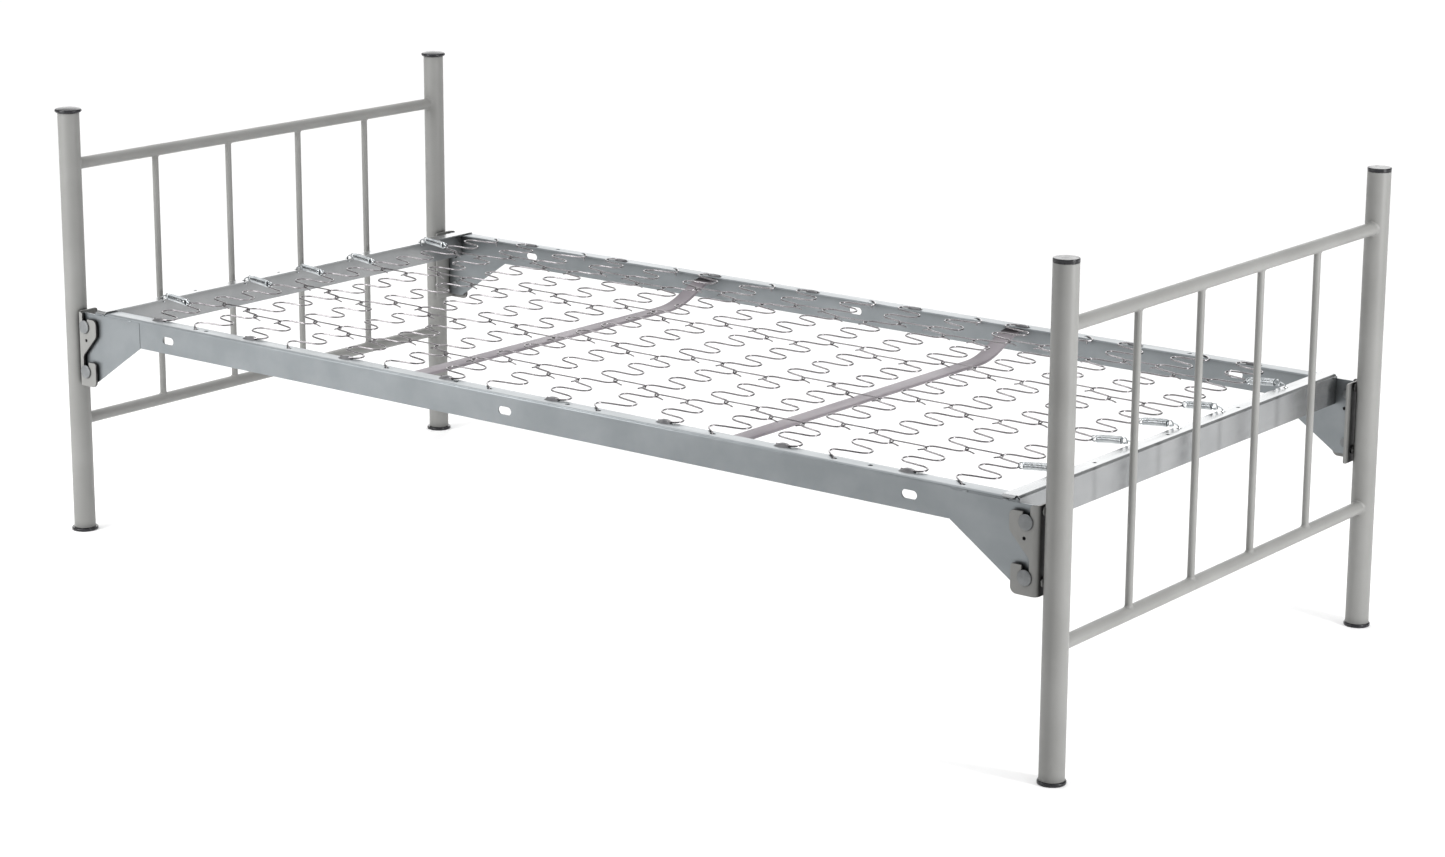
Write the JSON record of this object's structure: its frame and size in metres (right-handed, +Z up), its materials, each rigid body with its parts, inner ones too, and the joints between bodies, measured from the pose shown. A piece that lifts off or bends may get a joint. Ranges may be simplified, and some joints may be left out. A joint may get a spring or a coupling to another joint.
{
  "type": "bed frame",
  "caption": "Knock-down single bed frame: two tubular steel ends with upright spindles, and a zinc angle deck with sinuous springs that hooks between their corner brackets.",
  "frame": {"origin": "on the floor under the middle of the bed", "axes": "+Z up, +X from the head end to the foot end, -Y the front side"},
  "size_m": [2.0946, 0.9788, 0.7663],
  "materials": {
    "painted_steel": "warm light grey powder coat, satin",
    "zinc_steel": "bluish zinc plate, semi-gloss with faint rolling marks",
    "spring_wire": "bright drawn spring wire",
    "brace_steel": "oiled steel strap with a faint purple tint",
    "black_plastic": "moulded black plastic, glossy"
  },
  "bodies": {
    "spring_deck": {"side_rail_front": "zinc_steel", "side_rail_back": "zinc_steel", "end_rail_head": "zinc_steel", "end_rail_foot": "zinc_steel", "cross_brace_head": "brace_steel", "cross_brace_foot": "brace_steel", "spring_strand_01": "spring_wire", "spring_strand_02": "spring_wire", "spring_strand_03": "spring_wire", "spring_strand_04": "spring_wire", "spring_strand_05": "spring_wire", "spring_strand_06": "spring_wire", "spring_strand_07": "spring_wire", "spring_strand_08": "spring_wire", "spring_strand_09": "spring_wire", "spring_strand_10": "spring_wire", "spring_strand_11": "spring_wire", "spring_strand_12": "spring_wire", "spring_strand_13": "spring_wire", "spring_strand_14": "spring_wire", "spring_strand_15": "spring_wire", "spring_strand_16": "spring_wire", "coil_spring_head_1": "spring_wire", "coil_spring_head_2": "spring_wire", "coil_spring_head_3": "spring_wire", "coil_spring_head_4": "spring_wire", "coil_spring_head_5": "spring_wire", "coil_spring_foot_1": "spring_wire", "coil_spring_foot_2": "spring_wire", "coil_spring_foot_3": "spring_wire", "coil_spring_foot_4": "spring_wire", "coil_spring_foot_5": "spring_wire"},
    "head_end": {"head_post_front": "painted_steel", "head_bracket_front": "painted_steel", "head_cap_front": "black_plastic", "head_glide_front": "black_plastic", "head_post_back": "painted_steel", "head_bracket_back": "painted_steel", "head_cap_back": "black_plastic", "head_glide_back": "black_plastic", "head_top_crossrail": "painted_steel", "head_low_crossrail": "painted_steel", "head_spindle_1": "painted_steel", "head_spindle_2": "painted_steel", "head_spindle_3": "painted_steel", "head_spindle_4": "painted_steel"},
    "foot_end": {"foot_post_front": "painted_steel", "foot_bracket_front": "painted_steel", "foot_cap_front": "black_plastic", "foot_glide_front": "black_plastic", "foot_post_back": "painted_steel", "foot_bracket_back": "painted_steel", "foot_cap_back": "black_plastic", "foot_glide_back": "black_plastic", "foot_top_crossrail": "painted_steel", "foot_low_crossrail": "painted_steel", "foot_spindle_1": "painted_steel", "foot_spindle_2": "painted_steel", "foot_spindle_3": "painted_steel", "foot_spindle_4": "painted_steel"}
  },
  "joints": [
    {"name": "head_end_unhook", "type": "slide", "parent": "spring_deck", "child": "head_end", "axis": [0, 0, -1], "range_m": [0, 0.026]},
    {"name": "foot_end_unhook", "type": "slide", "parent": "spring_deck", "child": "foot_end", "axis": [0, 0, -1], "range_m": [0, 0.026]}
  ]
}
